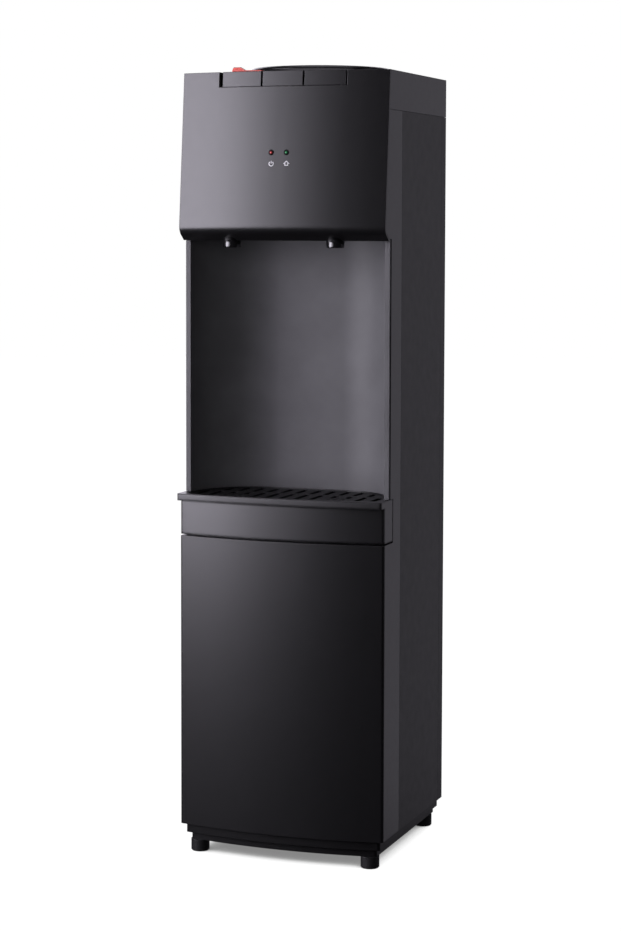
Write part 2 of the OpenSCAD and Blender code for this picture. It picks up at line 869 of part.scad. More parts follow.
// spring between a valve body and its push rod's collar
module valve_spring(x) {
    wire = 0.6;
    translate([x, rod_y, z_spring + clear + wire])
        mirror([0, 1, 0]) coil(rod_r + 2.3, spring_h - 2 * (clear + wire) + 0.3, 5, wire, 6, 14);
}

module valve_spring_hot() {
    color([0.7, 0.7, 0.72]) placed() valve_spring(rod_x[0]);
}

module valve_spring_ambient() {
    color([0.7, 0.7, 0.72]) placed() valve_spring(rod_x[1]);
}

module valve_spring_cold() {
    color([0.7, 0.7, 0.72]) placed() valve_spring(rod_x[2]);
}

// valve at x with its nozzle forward to y_end and its barb to the rear
module valve(x, y_end) {
    difference() {
        union() {
            post(x, rod_y, z_valve, z_spring, valve_r);
            along_y(x, z_port, y_end, rod_y, nozzle_r);
            along_y(x, z_port, rod_y, y_barb, barb_r);
        }
        post(x, rod_y, z_valve + 4, z_spring + 1, rod_r + clear);
        along_y(x, z_port, y_end - 1, rod_y, nozzle_r - 2.5);
        along_y(x, z_port, rod_y, y_barb + 1, barb_r - 1.5);
    }
}

module valve_body_hot() {
    color([0.75, 0.3, 0.25]) placed() valve(rod_x[0], spout_y + spout_bore);
}

module valve_body_ambient() {
    color([0.85, 0.85, 0.82]) placed() valve(rod_x[1], rod_y - valve_r - 6);
}

module valve_body_cold() {
    color([0.3, 0.45, 0.75]) placed() valve(rod_x[2], spout_y + spout_bore);
}

module valve_bracket() {
    reach = spout_x + valve_r + 8;
    z0 = z_ceil + wall;
    z1 = z_valve;
    y0 = rod_y - valve_r + 2;
    y1 = rod_y + valve_r + 2;
    color([0.6, 0.61, 0.63]) placed() {
        block([-reach, y0, z1 - 2], [reach, y1, z1]);
        for (side = [-1, 1]) mirror([side < 0 ? 1 : 0, 0, 0]) {
            block([reach - 2, y0, z0], [reach, y1, z1]);
            block([reach - 2, y0, z0], [reach + 12, y1, z0 + 2]);
        }
    }
}

// spout at x, closed above, with a socket for the valve's nozzle at its rear
module spout(x) {
    z0 = z_ceil - spout_drop;
    z1 = z_port + nozzle_r + 2;
    difference() {
        union() {
            post(x, spout_y, z0, z1, spout_r);
            post(x, spout_y, z_ceil + 18, z1, spout_r + 1.5);
        }
        post(x, spout_y, z0 - 1, z1 - 2.5, spout_bore);
        along_y(x, z_port, spout_y, spout_y + spout_r + 3, nozzle_r + 0.1);
    }
}

module spout_hot() {
    color([0.04, 0.04, 0.045]) placed() spout(-spout_x);
}

module spout_cold() {
    color([0.04, 0.04, 0.045]) placed() difference() {
        spout(spout_x);
        along_x(spout_y, z_port, spout_x - spout_r - 3, spout_x, tube_bore);
    }
}

module mixing_tube() {
    y0 = rod_y - valve_r - 6 - 0.1;
    color([0.88, 0.88, 0.86]) placed()
        tube([[0, y0, z_port], [0, spout_y, z_port], [spout_x - spout_r - 1.6, spout_y, z_port]],
            tube_r, tube_bore, tube_r + 1);
}

// indicator light: lens through the hood, flange behind it
module light(x) {
    on_hood() {
        along_y(x, light_h, -0.6, wall + 6, light_r);
        along_y(x, light_h, wall + 0.1, wall + 1.4, light_r + 1);
    }
}

module led_power() {
    color([0.8, 0.06, 0.05]) placed() light(-light_x);
}

module led_cooling() {
    color([0.1, 0.6, 0.2]) placed() light(light_x);
}

module led_board() {
    color([0.05, 0.3, 0.15]) placed() on_hood()
        block([-30, wall + 6.1, light_h - 10], [30, wall + 7.7, light_h + 10]);
}

// ---------- drip tray ----------

// plan of the bowl: the recess shape, moved inwards by inset, with its crowned front at front
module bowl_plan(front, inset) {
    intersection() {
        recess_plan(-tray_out - inset, -far / 4);
        crown_plan(front, body_d, corner_r);
    }
}

module bowl_slab(front, inset, z0, z1) {
    translate([0, 0, z0]) linear_extrude(z1 - z0) bowl_plan(front, inset);
}

module drip_tray() {
    z_fascia = z_shelf + fascia_gap;
    z_deck = z_lip - wall;
    liner_x = recess_w / 2 + wall + 0.5;
    y_liner = frame_set - 0.5;
    color([0.05, 0.05, 0.055]) placed() difference() {
        union() {
            crown_slab(clear, z_fascia, z_lip, y_liner);
            translate([0, 0, z_lip - lip_h]) linear_extrude(lip_h)
                bow_plan(half_w - clear, lip_rad, lip_rad - front_crown - lip_over, y_liner, 3);
            bowl_slab(front_in, 0, z_tray, z_lip - clear);
            for (side = [-1, 1]) mirror([side < 0 ? 1 : 0, 0, 0]) {
                block([liner_x + 1, y_liner - 1, z_fascia], [half_w - clear, tray_return, z_lip - 1]);
                block([liner_x, y_liner - 1, z_lip - lip_h], [half_w - clear, tray_return, z_lip]);
            }
        }
        difference() {
            crown_slab(wall + clear, z_fascia - 1, z_deck, far);
            bowl_slab(0, 0, z_tray, z_lip);
            block([liner_x + 1, y_liner - wall, z_fascia - 2], [far, far, z_lip]);
            block([-far, y_liner - wall, z_fascia - 2], [-liner_x - 1, far, z_lip]);
        }
        bowl_slab(tray_face + 2, wall + 2, z_tray + wall, z_lip + 1);
        bowl_slab(tray_face, wall, z_grille - clear, z_lip + 1);
    }
}

module grille_slots() {
    count = 2 * floor(recess_w / 2 / slot_pitch) + 1;
    rows = [[-front_crown, recess_d / 2 - 7], [recess_d / 2 + 2, recess_d - 14]];
    for (i = [0:count - 1]) for (row = rows) {
        x = (i - (count - 1) / 2) * slot_pitch;
        block([x - slot_w / 2, row[0], z_grille - 1], [x + slot_w / 2, row[1], z_lip]);
    }
}

module drip_grille() {
    y_target = spout_y + 6;
    color([0.04, 0.04, 0.045]) placed() difference() {
        bowl_slab(tray_face + 0.5, wall + 0.5, z_grille, z_grille + grille_t);
        difference() {
            intersection() {
                grille_slots();
                bowl_slab(tray_face + 3.5, wall + 5, z_grille - 1, z_lip);
            }
            for (x = [-spout_x, spout_x]) post(x, y_target, z_grille - 2, z_lip + 1, target_r);
        }
        for (x = [-spout_x, spout_x]) {
            for (turn = [0:45:315])
                post(x + 11 * cos(turn), y_target + 11 * sin(turn), z_grille - 1, z_lip, 2.6);
            post(x, y_target, z_grille - 1, z_lip, 3.2);
        }
    }
}

// ---------- cold water ----------

module tank_shelf() {
    reach = steel_x - clear;
    z1 = z_foam - clear;
    color([0.62, 0.63, 0.65]) placed() difference() {
        union() {
            block([-reach, shelf_y0, z1 - sheet], [reach, shelf_y1, z1]);
            for (side = [-1, 1]) mirror([side < 0 ? 1 : 0, 0, 0])
                block([reach - sheet, shelf_y0, z1 - 18], [reach, shelf_y1, z1]);
        }
        for (at = [[-duct_x, duct_y], [-duct_x, seat_y], [duct_x, comp_y], liquid_at])
            post(at[0], at[1], z1 - 3, z1 + 1, tube_r + 1);
    }
}

// spigots of the cold tank: low ones to the right and left, a high one to the front
module cold_spigots(r) {
    along_x(0, z_port, -spigot_reach, spigot_reach, r);
    along_y(0, z_high_spigot, -front_reach, 0, r);
}

module cold_tank() {
    color([0.78, 0.79, 0.8]) placed() translate([0, seat_y, 0]) difference() {
        union() {
            post(0, 0, z_cold, z_cold + cold_h, cold_r);
            cold_spigots(spigot_r);
        }
        post(0, 0, z_cold + 1, z_cold + cold_h + 1, cold_r - 1);
        along_x(0, z_port, -spigot_reach - 1, spigot_reach + 1, spigot_r - 1.5);
        along_y(0, z_high_spigot, -front_reach - 1, 0, spigot_r - 1.5);
    }
}

module tank_lid() {
    baffle_z = z_high_spigot - 14;
    color([0.9, 0.9, 0.88]) placed() translate([0, seat_y, 0]) difference() {
        union() {
            post(0, 0, z_lid, z_lid + lid_t, cold_r + 6);
            post(0, 0, baffle_z, baffle_z + 2, cold_r - 3);
            for (turn = [0:120:240]) rotate([0, 0, turn])
                post(cold_r - 16, 0, baffle_z, z_lid + 1, 3);
        }
        post(0, 0, z_lid - 1, z_lid + lid_t + 1, neck_r + wall + 0.6);
        post(0, 0, baffle_z - 1, baffle_z + 3, 8);
    }
}

module tank_insulation() {
    color([0.93, 0.93, 0.9]) placed() translate([0, seat_y, 0]) difference() {
        post(0, 0, z_foam, z_cold + cold_h, foam_r);
        post(0, 0, z_cold - clear, z_cold + cold_h + 1, foam_r - foam_t);
        cold_spigots(spigot_r + clear);
        for (z = z_leads) along_x(0, z, 0, foam_r + 1, lead_r + clear);
    }
}

module evaporator_coil() {
    color([0.72, 0.45, 0.3]) placed() translate([0, seat_y, z_leads[0]]) mirror([0, 1, 0])
        coil(cold_r + lead_r + 3 * clear, z_leads[1] - z_leads[0], 5, lead_r, 8, 28);
}

module water_tubes() {
    y_start = y_barb + clear;
    y_turn = y_barb + 8;
    y_rise = y_barb + 6;
    side_x = spigot_reach + 11;
    z_start = z_hot_top + 15 + clear;
    z_cross = z_start + 22;
    color([0.9, 0.9, 0.88]) placed() {
        tube([[spout_x, y_start, z_port], [spout_x, y_turn, z_port], [side_x, y_turn, z_port],
            [side_x, seat_y, z_port], [spigot_reach + clear, seat_y, z_port]],
            tube_r, tube_bore, tube_r + 2);
        tube([[0, y_start, z_port], [0, y_rise, z_port], [0, y_rise, z_high_spigot],
            [0, seat_y - front_reach - clear, z_high_spigot]], tube_r, tube_bore, tube_r + 0.5);
        tube([[-hot_x, hot_y, z_start], [-hot_x, hot_y, z_cross], [-hot_x, duct_y, z_cross],
            [-duct_x, duct_y, z_cross], [-duct_x, duct_y, z_port], [-duct_x, y_turn, z_port],
            [-spout_x, y_turn, z_port], [-spout_x, y_start, z_port]],
            tube_r, tube_bore, tube_r + 2);
        tube([[-spigot_reach - clear, seat_y, z_port], [-duct_x, seat_y, z_port],
            [-duct_x, seat_y, z_hot_in], [-duct_x, hot_y, z_hot_in],
            [-hot_x - jacket_r - 3 - clear, hot_y, z_hot_in]], tube_r, tube_bore, tube_r + 2);
    }
}

// ---------- hot water ----------

module at_hot() {
    placed() translate([-hot_x, hot_y, 0]) children();
}

module hot_tank() {
    color([0.76, 0.77, 0.78]) at_hot() difference() {
        union() {
            post(0, 0, z_hot, z_hot_top, hot_r);
            post(0, 0, z_hot_top - 1, z_hot_top + 15, spigot_r);
            post(0, 0, z_bracket - 6, z_hot + 1, spigot_r);
            along_x(0, z_hot_in, -jacket_r - 3, 0, spigot_r);
        }
        post(0, 0, z_hot + 1, z_hot_top - 1, hot_r - 1);
        post(0, 0, z_hot_top - 2, z_hot_top + 16, spigot_r - 1.5);
        post(0, 0, z_bracket - 7, z_hot + 2, spigot_r - 1.5);
        along_x(0, z_hot_in, -jacket_r - 4, 0, spigot_r - 1.5);
    }
}

module hot_tank_jacket() {
    color([0.88, 0.86, 0.8]) at_hot() difference() {
        post(0, 0, z_jacket, z_hot_top, jacket_r);
        post(0, 0, z_hot - clear, z_hot_top + 1, hot_r + 3.5);
        post(0, 0, z_jacket - 1, z_hot, spigot_r + clear);
        along_x(0, z_hot_in, -jacket_r - 1, 0, spigot_r + clear);
    }
}

module heater_band() {
    z0 = z_hot_in + band_rise;
    color([0.7, 0.6, 0.35]) at_hot() difference() {
        post(0, 0, z0, z0 + band_h, hot_r + 2.6);
        post(0, 0, z0 - 1, z0 + band_h + 1, hot_r + clear);
    }
}

module thermostats() {
    color([0.15, 0.15, 0.16]) at_hot() for (side = [-1, 1]) {
        post(side * 22, 0, z_hot_top + 0.1, z_hot_top + 5, 8);
        block([side * 22 - 4, -1, z_hot_top + 4], [side * 22 + 4, 1, z_hot_top + 11]);
    }
}

module hot_tank_bracket() {
    y0 = hot_y - jacket_r + 6;
    y1 = y_rear - clear;
    color([0.6, 0.61, 0.63]) placed() difference() {
        union() {
            block([-hot_x - jacket_r + 4, y0, z_bracket - 2], [-hot_x + jacket_r - 4, y1, z_bracket]);
            block([-hot_x - jacket_r + 4, y1 - 2, z_bracket - 40], [-hot_x + jacket_r - 4, y1, z_bracket]);
        }
        post(-hot_x, hot_y, z_bracket - 3, z_bracket + 1, spigot_r + 1);
    }
}

module drain_outlet() {
    color([0.85, 0.85, 0.83]) placed() {
        tube([[-hot_x, hot_y, z_bracket - 6.3], [-hot_x, hot_y, z_drain], [-hot_x, outlet_end, z_drain]],
            tube_r, tube_bore, 3 * tube_r);
        difference() {
            along_y(-hot_x, z_drain, body_d, body_d + 3, tube_r + 3.5);
            along_y(-hot_x, z_drain, body_d - 1, body_d + 4, tube_r - 0.5);
        }
    }
}

module drain_cap() {
    y0 = body_d + 3 + clear;
    color([0.08, 0.08, 0.085]) placed() difference() {
        along_y(-hot_x, z_drain, y0, outlet_end + 2.5, tube_r + 3.5);
        along_y(-hot_x, z_drain, y0 - 1, outlet_end + clear, tube_r + clear);
    }
}

// ---------- cooling ----------

module comp_feet() {
    for (x = [-mount_x, mount_x]) for (y = [-mount_y, mount_y])
        translate([x, comp_y + y, 0]) children();
}

module compressor() {
    edge = 26;
    mid = comp_r - edge;
    color([0.03, 0.03, 0.033]) placed() {
        translate([0, comp_y, z_comp]) rotate_extrude($fn = 96) {
            translate([0, 0]) square([mid, comp_h]);
            translate([0, edge]) square([comp_r, comp_h - 2 * edge]);
            intersection() {
                union() {
                    translate([mid, edge]) circle(r = edge);
                    translate([mid, comp_h - edge]) circle(r = edge);
                }
                square([comp_r, comp_h]);
            }
        }
        difference() {
            block([-mount_x - 8, comp_y - mount_y - 8, z_comp - 2],
                [mount_x + 8, comp_y + mount_y + 8, z_comp + 0.5]);
            comp_feet() post(0, 0, z_comp - 4, z_comp + 4, 3);
        }
        block([comp_r - 4, comp_y - term_half, z_comp + term_rise],
            [comp_r + 20, comp_y + term_half, z_comp + term_rise + term_h]);
    }
}

module compressor_mounts() {
    z0 = z_plate + plate_t;
    color([0.09, 0.09, 0.09]) placed() comp_feet() {
        post(0, 0, z0, z0 + mount_h, 9);
        post(0, 0, z_plate, z0 + mount_h + 4, 2.7);
    }
}

module condenser_tube() {
    color([0.03, 0.03, 0.033]) placed() {
        for (i = [0:cond_n - 1])
            along_x(y_cond, z_cond + i * cond_pitch, -cond_half, cond_half, cond_r);
        for (i = [0:cond_n - 2]) {
            side = i % 2 == 0 ? 1 : -1;
            translate([side * cond_half, y_cond, z_cond + (i + 0.5) * cond_pitch])
                rotate([90, side * 90 - 90, 0]) rotate([0, 0, -90])
                    rotate_extrude(angle = 180) translate([cond_pitch / 2, 0]) circle(r = cond_r, $fn = 24);
        }
    }
}

module condenser_wires() {
    count = 2 * floor(cond_half / wire_pitch);
    z0 = z_cond - 8;
    z1 = z_cond + (cond_n - 1) * cond_pitch + 8;
    off = cond_r + wire_r + 0.1;
    color([0.03, 0.03, 0.033]) placed()
        for (i = [0:count - 1]) for (side = [-1, 1])
            translate([(i - (count - 1) / 2) * wire_pitch, y_cond + side * off, z0])
                cylinder(h = z1 - z0, r = wire_r, $fn = 16);
}

module condenser_clips() {
    clip_x = 6 * wire_pitch;
    color([0.4, 0.4, 0.42]) placed()
        for (side = [-1, 1]) for (i = [1, cond_n - 2]) {
            z = z_cond + i * cond_pitch;
            difference() {
                block([side * clip_x - wire_pitch / 2 + 1.5, body_d, z - 7],
                    [side * clip_x + wire_pitch / 2 - 1.5, y_cond + cond_r + wire_r, z + 7]);
                along_x(y_cond, z, side * clip_x - 9, side * clip_x + 9, cond_r + 0.1);
            }
        }
}

module refrigerant_lines() {
    z_top_pass = z_cond + (cond_n - 1) * cond_pitch;
    z_pass = z_window + window_h - 14;
    left = cond_half + cond_pitch / 2 + 8;
    z_out = z_comp + comp_h - 34;
    end_x = cond_half + clear;
    color([0.72, 0.42, 0.28]) placed() {
        bar([[-comp_r - clear, comp_y, z_out], [-left, comp_y, z_out], [-left, y_cond, z_out],
            [-left, y_cond, z_top_pass], [-end_x, y_cond, z_top_pass]], 2.2, 8);
        bar([[-end_x, y_cond, z_cond], [-end_x - 4, y_cond, z_cond], [-end_x - 4, y_cond, z_pass],
            [-end_x - 4, liquid_at[1], z_pass], [liquid_at[0], liquid_at[1], z_pass],
            [liquid_at[0], liquid_at[1], z_leads[0]], [liquid_at[0], seat_y, z_leads[0]],
            [lead_x, seat_y, z_leads[0]]], 1.8, 3.5);
        along_x(liquid_at[1], z_pass, -40, 30, 9);
        bar([[comp_r + clear, comp_y, z_out], [duct_x, comp_y, z_out], [duct_x, comp_y, z_leads[1]],
            [duct_x, seat_y, z_leads[1]], [lead_x, seat_y, z_leads[1]]], lead_r, 1.5 * lead_r);
    }
}

// ---------- rear fittings ----------

module switch_housing() {
    y0 = y_rear - 9;
    color([0.05, 0.05, 0.055]) placed() translate([switch_mid, 0, z_switch]) difference() {
        union() {
            block([-switch_in + 0.2, y0, -11.3], [switch_in - 0.2, body_d + 1, 11.3]);
            block([-switch_in - 4, body_d, -15], [switch_in + 4, body_d + 2.2, 15]);
            block([-20, y0 - 24, -14], [20, y0 + 0.5, 14]);
        }
        for (x = [-rocker_x, rocker_x]) {
            block([x - 6.6, y0 + 1, -9.6], [x + 6.6, body_d + 3, 9.6]);
            along_x(y_rear - 2, 0, x - 8, x + 8, 1.5 + run);
        }
    }
}

// rocker at x, resting with its lower half pressed in
module rocker(x) {
    placed() translate([switch_mid + x, y_rear - 2, z_switch]) {
        along_x(0, 0, -7.6, 7.6, 1.5);
        rotate([-rock_deg, 0, 0]) {
            block([-6.2, -1.5, -8.6], [6.2, 4.5, 8.6]);
            along_x(0, 0, -6.2, 6.2, 3);
        }
    }
}

module rocker_heat() {
    color([0.7, 0.08, 0.06]) rocker(-rocker_x);
}

module rocker_cool() {
    color([0.1, 0.45, 0.2]) rocker(rocker_x);
}

module cable_gland() {
    x = gland_x;
    color([0.06, 0.06, 0.065]) placed() difference() {
        union() {
            along_y(x, z_drain, y_rear - 8, body_d + 8, gland_r);
            along_y(x, z_drain, body_d, body_d + 3, gland_r + 3);
            along_y(x, z_drain, y_rear - 4, y_rear, gland_r + 2);
        }
        along_y(x, z_drain, y_rear - 9, body_d + 9, gland_bore);
    }
}

base_plinth();
levelling_feet();
base_plate();
front_housing();
recess_liner();
hood_cover();
top_cover();
side_panel_left();
side_panel_right();
rear_panel();
panel_screws();
bottle_seat();
bottle_probe();
tab_hot();
tab_ambient();
tab_cold();
tab_axle();
tab_carrier();
child_lock();
push_rod_hot();
push_rod_ambient();
push_rod_cold();
valve_spring_hot();
valve_spring_ambient();
valve_spring_cold();
valve_body_hot();
valve_body_ambient();
valve_body_cold();
valve_bracket();
spout_hot();
spout_cold();
mixing_tube();
led_power();
led_cooling();
led_board();
drip_tray();
drip_grille();
tank_shelf();
cold_tank();
tank_lid();
tank_insulation();
evaporator_coil();
water_tubes();
hot_tank();
hot_tank_jacket();
heater_band();
thermostats();
hot_tank_bracket();
drain_outlet();
drain_cap();
compressor();
compressor_mounts();
condenser_tube();
condenser_wires();
condenser_clips();
refrigerant_lines();
switch_housing();
rocker_heat();
rocker_cool();
cable_gland();
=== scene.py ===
import json
import math

import bmesh
import bpy
from mathutils import Matrix, Vector


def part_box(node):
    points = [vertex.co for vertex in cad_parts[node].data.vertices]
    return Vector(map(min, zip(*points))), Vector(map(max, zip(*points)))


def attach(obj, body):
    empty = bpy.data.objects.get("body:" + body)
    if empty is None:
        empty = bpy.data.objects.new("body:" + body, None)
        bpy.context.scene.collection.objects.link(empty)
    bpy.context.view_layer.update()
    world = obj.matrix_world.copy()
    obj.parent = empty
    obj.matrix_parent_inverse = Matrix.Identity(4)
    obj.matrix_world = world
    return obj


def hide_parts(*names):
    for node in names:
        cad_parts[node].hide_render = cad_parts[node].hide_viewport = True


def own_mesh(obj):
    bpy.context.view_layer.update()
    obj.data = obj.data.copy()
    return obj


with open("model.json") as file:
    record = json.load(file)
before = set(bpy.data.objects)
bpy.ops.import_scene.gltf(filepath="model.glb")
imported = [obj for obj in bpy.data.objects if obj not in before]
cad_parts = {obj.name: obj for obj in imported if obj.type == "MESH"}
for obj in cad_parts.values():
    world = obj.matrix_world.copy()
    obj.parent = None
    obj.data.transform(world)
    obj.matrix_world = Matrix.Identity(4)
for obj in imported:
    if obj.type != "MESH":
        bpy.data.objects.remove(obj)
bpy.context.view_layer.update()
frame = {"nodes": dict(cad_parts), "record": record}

NODES = frame["nodes"]
MM = 0.001


# ---------- small helpers ----------

def link(obj):
    """Puts a new object into the scene."""
    bpy.context.scene.collection.objects.link(obj)
    return obj


def mesh_object(name, verts, faces, smooth=False):
    """Makes an object from points and faces."""
    mesh = bpy.data.meshes.new(name)
    mesh.from_pydata([tuple(v) for v in verts], [], [tuple(f) for f in faces])
    mesh.validate()
    mesh.update()
    for poly in mesh.polygons:
        poly.use_smooth = smooth
    return link(bpy.data.objects.new(name, mesh))


def lathe(name, profile, place, axis, steps=40):
    """Turns a closed outline of (radius, height) in mm about an axis that starts at a place."""
    turn = Vector((0, 0, 1)).rotation_difference(Vector(axis)).to_matrix()
    verts, rings = [], []
    for r, h in profile:
        count = steps if r > 0 else 1
        rings.append(range(len(verts), len(verts) + count))
        for i in range(count):
            a = 2 * math.pi * i / count
            verts.append(Vector(place) + turn @ Vector((r * math.cos(a), r * math.sin(a), h)) * MM)
    pairs = list(zip(rings, rings[1:]))
    if profile[0][0] > 0:
        pairs.append((rings[-1], rings[0]))
    faces = []
    for low, high in pairs:
        for i in range(steps):
            j = (i + 1) % steps
            corners = [low[i % len(low)], low[j % len(low)], high[j % len(high)], high[i % len(high)]]
            face = list(dict.fromkeys(corners))
            if len(face) > 2:
                faces.append(face)
    return mesh_object(name, verts, faces, smooth=True)


def brick(name, low, high, bevel, turn=0.0):
    """Block with rounded edges between two corners in metres, turned about X; bevel in mm."""
    mid = (Vector(low) + Vector(high)) / 2
    size = Vector(high) - Vector(low)
    mesh = bpy.data.meshes.new(name)
    grid = bmesh.new()
    bmesh.ops.create_cube(grid, size=1.0)
    bmesh.ops.scale(grid, vec=size, verts=grid.verts)
    bmesh.ops.bevel(grid, geom=list(grid.edges), offset=bevel * MM, segments=3, profile=0.5, affect="EDGES")
    bmesh.ops.rotate(grid, cent=(0, 0, 0), matrix=Matrix.Rotation(turn, 3, "X"), verts=grid.verts)
    bmesh.ops.translate(grid, vec=mid, verts=grid.verts)
    grid.to_mesh(mesh)
    grid.free()
    return link(bpy.data.objects.new(name, mesh))


def dress(obj, surface, body):
    """Gives a new piece its surface and the body that carries it."""
    obj.data.materials.clear()
    obj.data.materials.append(surface.mat)
    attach(obj, body)
    return obj


def center(node):
    """Middle of a node's box."""
    low, high = (Vector(c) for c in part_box(node))
    return (low + high) / 2


def on_face(node, start, way):
    """Point and outward normal where a ray from a start meets a node."""
    hit, place, normal, _ = NODES[node].ray_cast(Vector(start), Vector(way))
    if not hit:
        raise RuntimeError("no surface of " + node)
    return place, normal


# ---------- materials ----------

class Surface:
    """A Principled material whose detail comes from noise in the object's own metres."""

    def __init__(self, name, color, rough, metallic=0.0, specular=0.5):
        self.mat = bpy.data.materials.new(name)
        self.mat.use_nodes = True
        self.tree = self.mat.node_tree
        self.tree.nodes.clear()
        self.out = self.tree.nodes.new("ShaderNodeOutputMaterial")
        self.bsdf = self.tree.nodes.new("ShaderNodeBsdfPrincipled")
        self.tree.links.new(self.bsdf.outputs[0], self.out.inputs[0])
        self.coord = self.tree.nodes.new("ShaderNodeTexCoord").outputs["Object"]
        self.color = color
        self.rough = rough
        self.set("Base Color", (*color, 1))
        self.set("Roughness", rough)
        self.set("Metallic", metallic)
        self.set("Specular IOR Level", specular)
        self.normal = None

    def set(self, socket, value):
        """Sets a plain value of the Principled shader."""
        self.bsdf.inputs[socket].default_value = value

    def noise(self, scale, detail=3.0):
        """Noise value with a cell size of 1 / scale metres."""
        node = self.tree.nodes.new("ShaderNodeTexNoise")
        node.inputs["Scale"].default_value = scale
        node.inputs["Detail"].default_value = detail
        node.inputs["Roughness"].default_value = 0.55
        self.tree.links.new(self.coord, node.inputs["Vector"])
        return node.outputs["Fac"]

    def spread(self, value, low, high):
        """Maps noise from its usual 0.3 to 0.7 onto low to high."""
        node = self.tree.nodes.new("ShaderNodeMapRange")
        node.inputs["From Min"].default_value = 0.3
        node.inputs["From Max"].default_value = 0.7
        node.inputs["To Min"].default_value = low
        node.inputs["To Max"].default_value = high
        self.tree.links.new(value, node.inputs["Value"])
        return node.outputs[0]

    def vary_color(self, scale, amount):
        """Moves the colour up and down by a share."""
        ramp = self.tree.nodes.new("ShaderNodeValToRGB")
        ramp.color_ramp.elements[0].position = 0.3
        ramp.color_ramp.elements[1].position = 0.7
        ramp.color_ramp.elements[0].color = (*[c * (1 - amount) for c in self.color], 1)
        ramp.color_ramp.elements[1].color = (*[c * (1 + amount) for c in self.color], 1)
        self.tree.links.new(self.noise(scale), ramp.inputs[0])
        self.tree.links.new(ramp.outputs[0], self.bsdf.inputs["Base Color"])
        return self

    def vary_rough(self, scale, amount):
        """Moves the roughness up and down by an amount."""
        value = self.spread(self.noise(scale), self.rough - amount, self.rough + amount)
        self.tree.links.new(value, self.bsdf.inputs["Roughness"])
        return self

    def bump(self, scale, depth, detail=2.0):
        """Adds relief of a depth in metres."""
        node = self.tree.nodes.new("ShaderNodeBump")
        node.inputs["Strength"].default_value = 1.0
        node.inputs["Distance"].default_value = depth
        self.tree.links.new(self.noise(scale, detail), node.inputs["Height"])
        if self.normal is not None:
            self.tree.links.new(self.normal, node.inputs["Normal"])
        self.normal = node.outputs[0]
        self.tree.links.new(self.normal, self.bsdf.inputs["Normal"])
        return self

    def round_edges(self, radius):
        """Lets the light roll over sharp edges as over a small radius."""
        node = self.tree.nodes.new("ShaderNodeBevel")
        node.samples = 4
        node.inputs["Radius"].default_value = radius
        self.normal = node.outputs[0]
        self.tree.links.new(self.normal, self.bsdf.inputs["Normal"])
        return self


def plastic(name, color, rough, specular=0.35, edge=0.0011, grain=1400, depth=0.00001):
    """Moulded plastic with a fine spark-eroded grain."""
    s = Surface(name, color, rough, specular=specular).round_edges(edge)
    s.vary_color(18, 0.10).vary_rough(110, 0.012)
    return s.bump(grain, depth)


def sheet_metal(name, color, rough, metallic, edge=0.0004, grain=900, depth=0.00001, specular=0.5):
    """Steel sheet, bare or coated."""
    s = Surface(name, color, rough, metallic, specular).round_edges(edge)
    s.vary_color(22, 0.1).vary_rough(60, 0.02)
    return s.bump(grain, depth)


def rubber(name, color, rough=0.75):
    """Soft rubber or silicone with a dull, uneven skin."""
    s = Surface(name, color, rough, specular=0.3).round_edges(0.0004)
    s.vary_color(120, 0.2).vary_rough(300, 0.08)
    return s.bump(2600, 0.00003)


def foam(name, color):
    """Insulating foam with open pores."""
    s = Surface(name, color, 0.9, specular=0.2).round_edges(0.0012)
    s.vary_color(60, 0.12).vary_rough(400, 0.05)
    return s.bump(420, 0.0004, detail=4)


def clear(name, color, rough=0.12):
    """Clear plastic tube."""
    s = Surface(name, color, rough, specular=0.5)
    s.set("Transmission Weight", 0.85)
    s.set("IOR", 1.49)
    s.vary_rough(40, 0.04)
    return s.bump(90, 0.00002)


def lens(name, color, glow, power=0.3):
    """Tinted lens with a weak light behind it."""
    s = Surface(name, color, 0.3, specular=0.3)
    s.set("Emission Color", (*glow, 1))
    s.set("Emission Strength", power)
    s.vary_color(900, 0.35).vary_rough(900, 0.05)
    return s.bump(1500, 0.00001)


